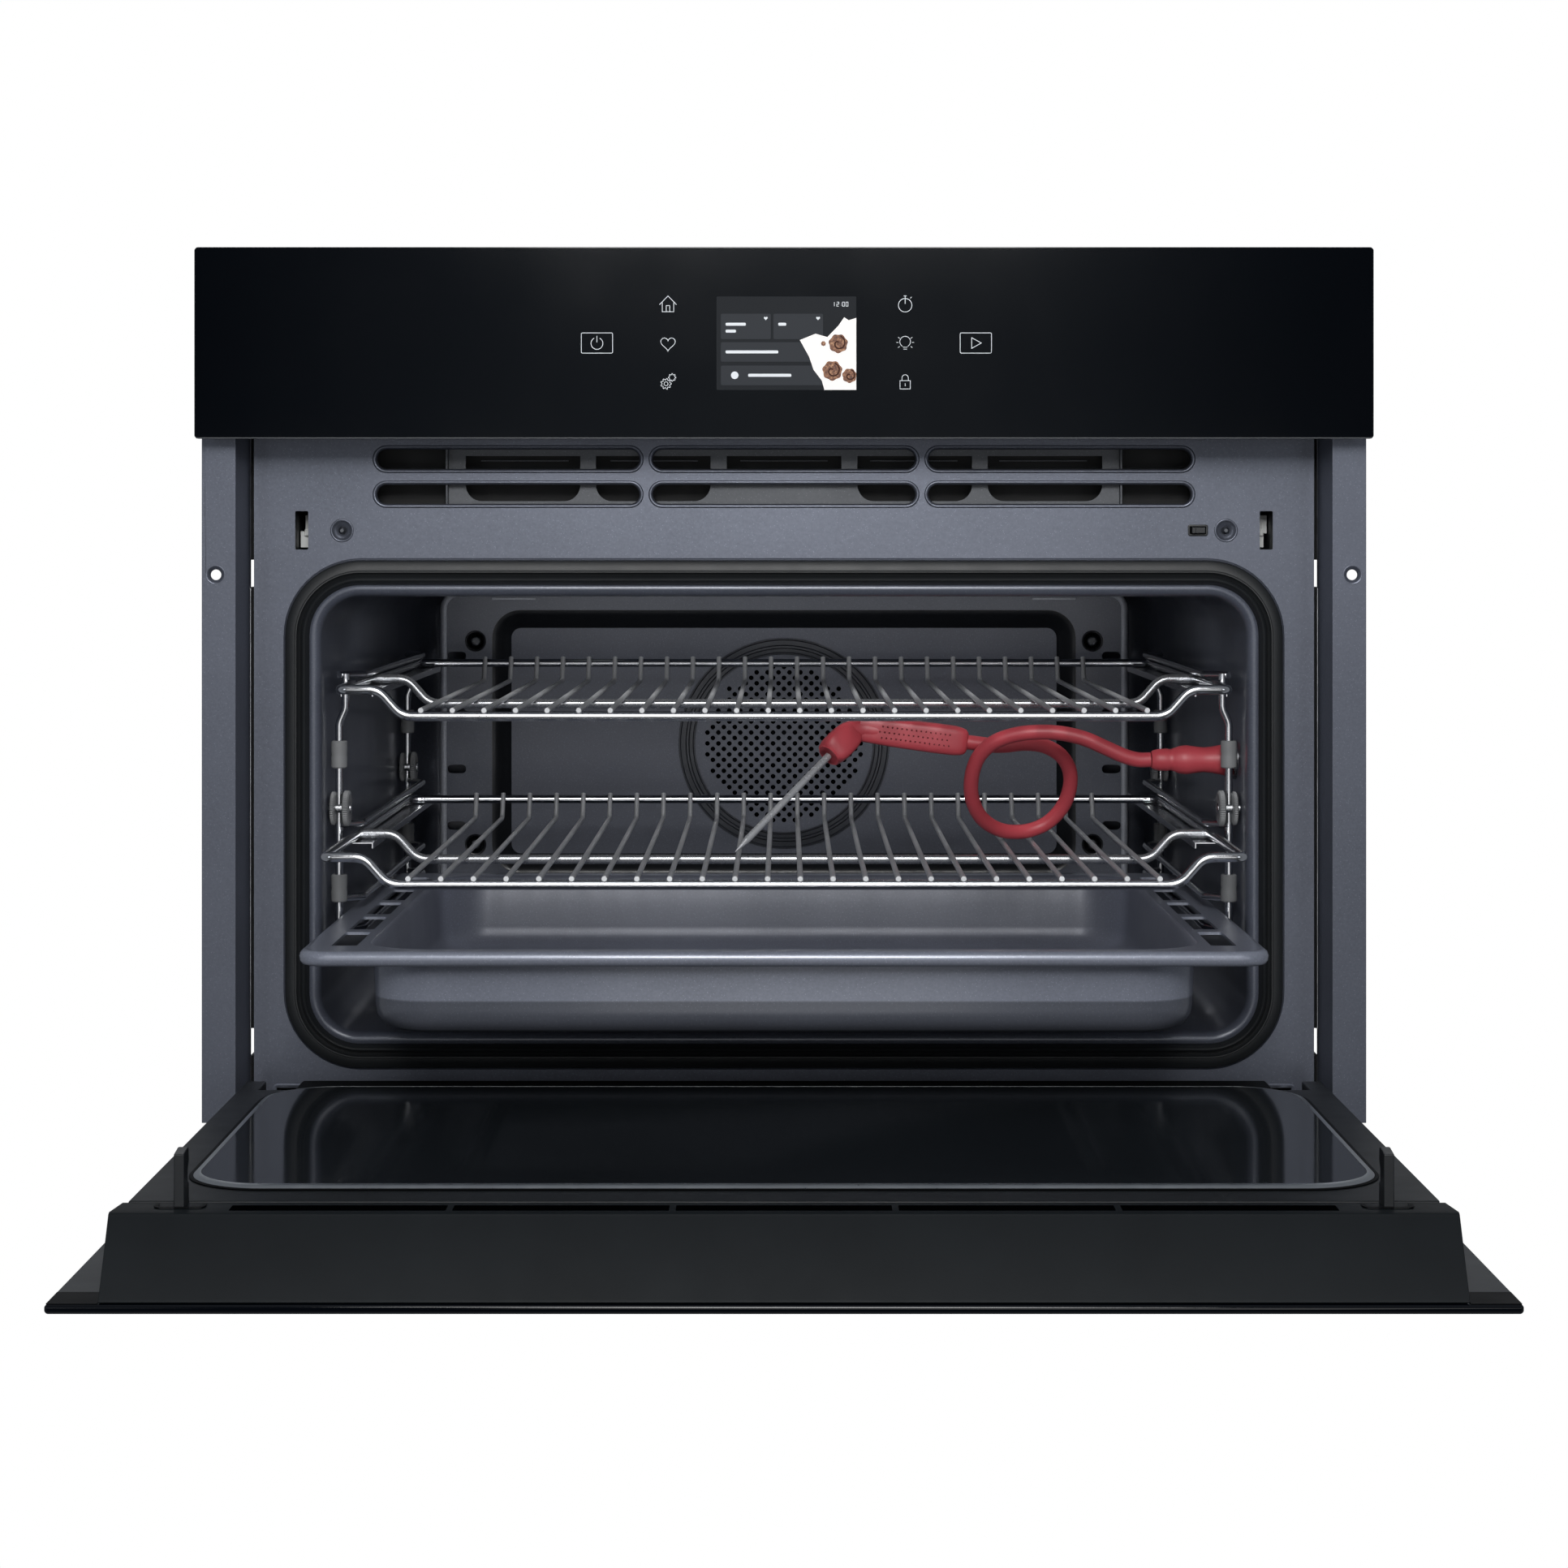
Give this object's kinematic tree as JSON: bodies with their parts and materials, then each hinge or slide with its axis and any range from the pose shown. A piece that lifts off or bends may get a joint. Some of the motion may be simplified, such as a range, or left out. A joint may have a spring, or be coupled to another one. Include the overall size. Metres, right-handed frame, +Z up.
{
  "type": "wall oven",
  "caption": "Compact built-in oven with a drop-down glass door, wire racks and a deep tray pulled out in steps, and a corded food probe plugged into the cavity wall.",
  "frame": {"origin": "middle of the cabinet shelf's front edge: X = 0 on the oven's centre line, Y = 0 in the cabinet's front plane, where the backs of the mounting flanges rest, Z = 0 in the plane that the base stands on", "axes": "+X to the right as the user faces the oven, +Y into the cabinet, +Z up"},
  "size_m": [0.596, 0.8907, 0.466],
  "materials": {
    "galvanised": "satin",
    "machinery": "satin",
    "frame_paint": "satin",
    "enamel": "gloss",
    "stainless": "polished",
    "chrome": "polished",
    "heater": "matte",
    "wool": "matte",
    "gasket": "matte",
    "panel_glass": "gloss",
    "clear_glass": "gloss",
    "screen": "gloss",
    "black_plastic": "satin",
    "grey_plastic": "satin",
    "board": "matte",
    "red_silicone": "satin"
  },
  "bodies": {
    "chassis": {"base_pan": "galvanised", "left_side_panel": "galvanised", "right_side_panel": "galvanised", "top_cover": "galvanised", "rear_panel": "galvanised", "vent_duct": "galvanised", "blower_housing": "galvanised", "waveguide": "galvanised", "left_hinge_receiver": "galvanised", "right_hinge_receiver": "galvanised", "magnetron": "machinery", "fan_motor": "machinery", "front_frame": "frame_paint", "left_mounting_flange": "frame_paint", "right_mounting_flange": "frame_paint", "cavity_liner": "enamel", "fan_baffle": "enamel", "baffle_screw_1": "stainless", "baffle_screw_2": "stainless", "baffle_screw_3": "stainless", "baffle_screw_4": "stainless", "probe_socket": "stainless", "left_side_rack": "chrome", "right_side_rack": "chrome", "ring_element": "heater", "grill_element": "heater", "insulation_wrap": "wool", "door_gasket": "gasket", "control_panel_glass": "panel_glass", "display_module": "screen", "control_panel_housing": "black_plastic", "terminal_block": "black_plastic", "left_latch_interlock": "black_plastic", "right_latch_interlock": "black_plastic", "door_switch": "black_plastic", "oven_lamp": "grey_plastic", "control_board": "board", "power_board": "board"},
    "door": {"door_outer_glass": "panel_glass", "door_middle_glass": "clear_glass", "door_inner_glass": "clear_glass", "door_frame": "black_plastic", "door_top_trim": "black_plastic", "left_latch_hook": "stainless", "right_latch_hook": "stainless", "left_hinge_arm": "galvanised", "right_hinge_arm": "galvanised"},
    "upper_shelf": {"upper_rack": "chrome"},
    "lower_shelf": {"lower_rack": "chrome"},
    "tray": {"baking_tray": "enamel"},
    "convection_wheel": {"fan_impeller": "stainless"},
    "cooling_wheel": {"blower_wheel": "black_plastic"},
    "left_lever": {"left_interlock_lever": "grey_plastic"},
    "right_lever": {"right_interlock_lever": "grey_plastic"},
    "switch_pin": {"door_switch_plunger": "black_plastic"},
    "food_probe": {"probe_plug": "red_silicone", "probe_cord": "red_silicone", "probe_handle": "red_silicone", "probe_spike": "stainless"}
  },
  "joints": [
    {"name": "door_hinge", "type": "hinge", "parent": "chassis", "child": "door", "pos_m": [0, -0.0035, 0.0228], "axis": [-1, 0, 0], "range_deg": [0, 90]},
    {"name": "upper_rack_slide", "type": "slide", "parent": "chassis", "child": "upper_shelf", "axis": [0, 1, 0], "range_m": [0, 0.0461]},
    {"name": "lower_rack_slide", "type": "slide", "parent": "chassis", "child": "lower_shelf", "axis": [0, 1, 0], "range_m": [0, 0.1007]},
    {"name": "tray_slide", "type": "slide", "parent": "chassis", "child": "tray", "axis": [0, 1, 0], "range_m": [0, 0.1536]},
    {"name": "convection_fan_spin", "type": "hinge", "parent": "chassis", "child": "convection_wheel", "pos_m": [0, 0.4225, 0.1877], "axis": [0, 1, 0], "continuous": true},
    {"name": "cooling_blower_spin", "type": "hinge", "parent": "chassis", "child": "cooling_wheel", "pos_m": [0, 0.318, 0.3505], "axis": [0, 0, 1], "continuous": true},
    {"name": "left_lever_pivot", "type": "hinge", "parent": "chassis", "child": "left_lever", "pos_m": [-0.2505, 0.06, 0.316], "axis": [-1, 0, 0], "range_deg": [0, 8], "stiffness_Nm_per_rad": 0.05, "springref_deg": -5.73},
    {"name": "right_lever_pivot", "type": "hinge", "parent": "chassis", "child": "right_lever", "pos_m": [0.2505, 0.06, 0.316], "axis": [-1, 0, 0], "range_deg": [0, 8], "stiffness_Nm_per_rad": 0.05, "springref_deg": -5.73},
    {"name": "door_switch_push", "type": "slide", "parent": "chassis", "child": "switch_pin", "axis": [0, 1, 0], "range_m": [0, 0.003], "stiffness_N_per_m": 300, "springref_m": -0.001},
    {"name": "probe_plug_pull", "type": "slide", "parent": "chassis", "child": "food_probe", "axis": [-1, 0, 0], "range_m": [0, 0.022]}
  ],
  "couplings": [
    {"joint": "upper_rack_slide", "follows": "door_hinge", "m_per_rad": 0.02928},
    {"joint": "lower_rack_slide", "follows": "door_hinge", "m_per_rad": 0.06404},
    {"joint": "tray_slide", "follows": "door_hinge", "m_per_rad": 0.0977}
  ]
}
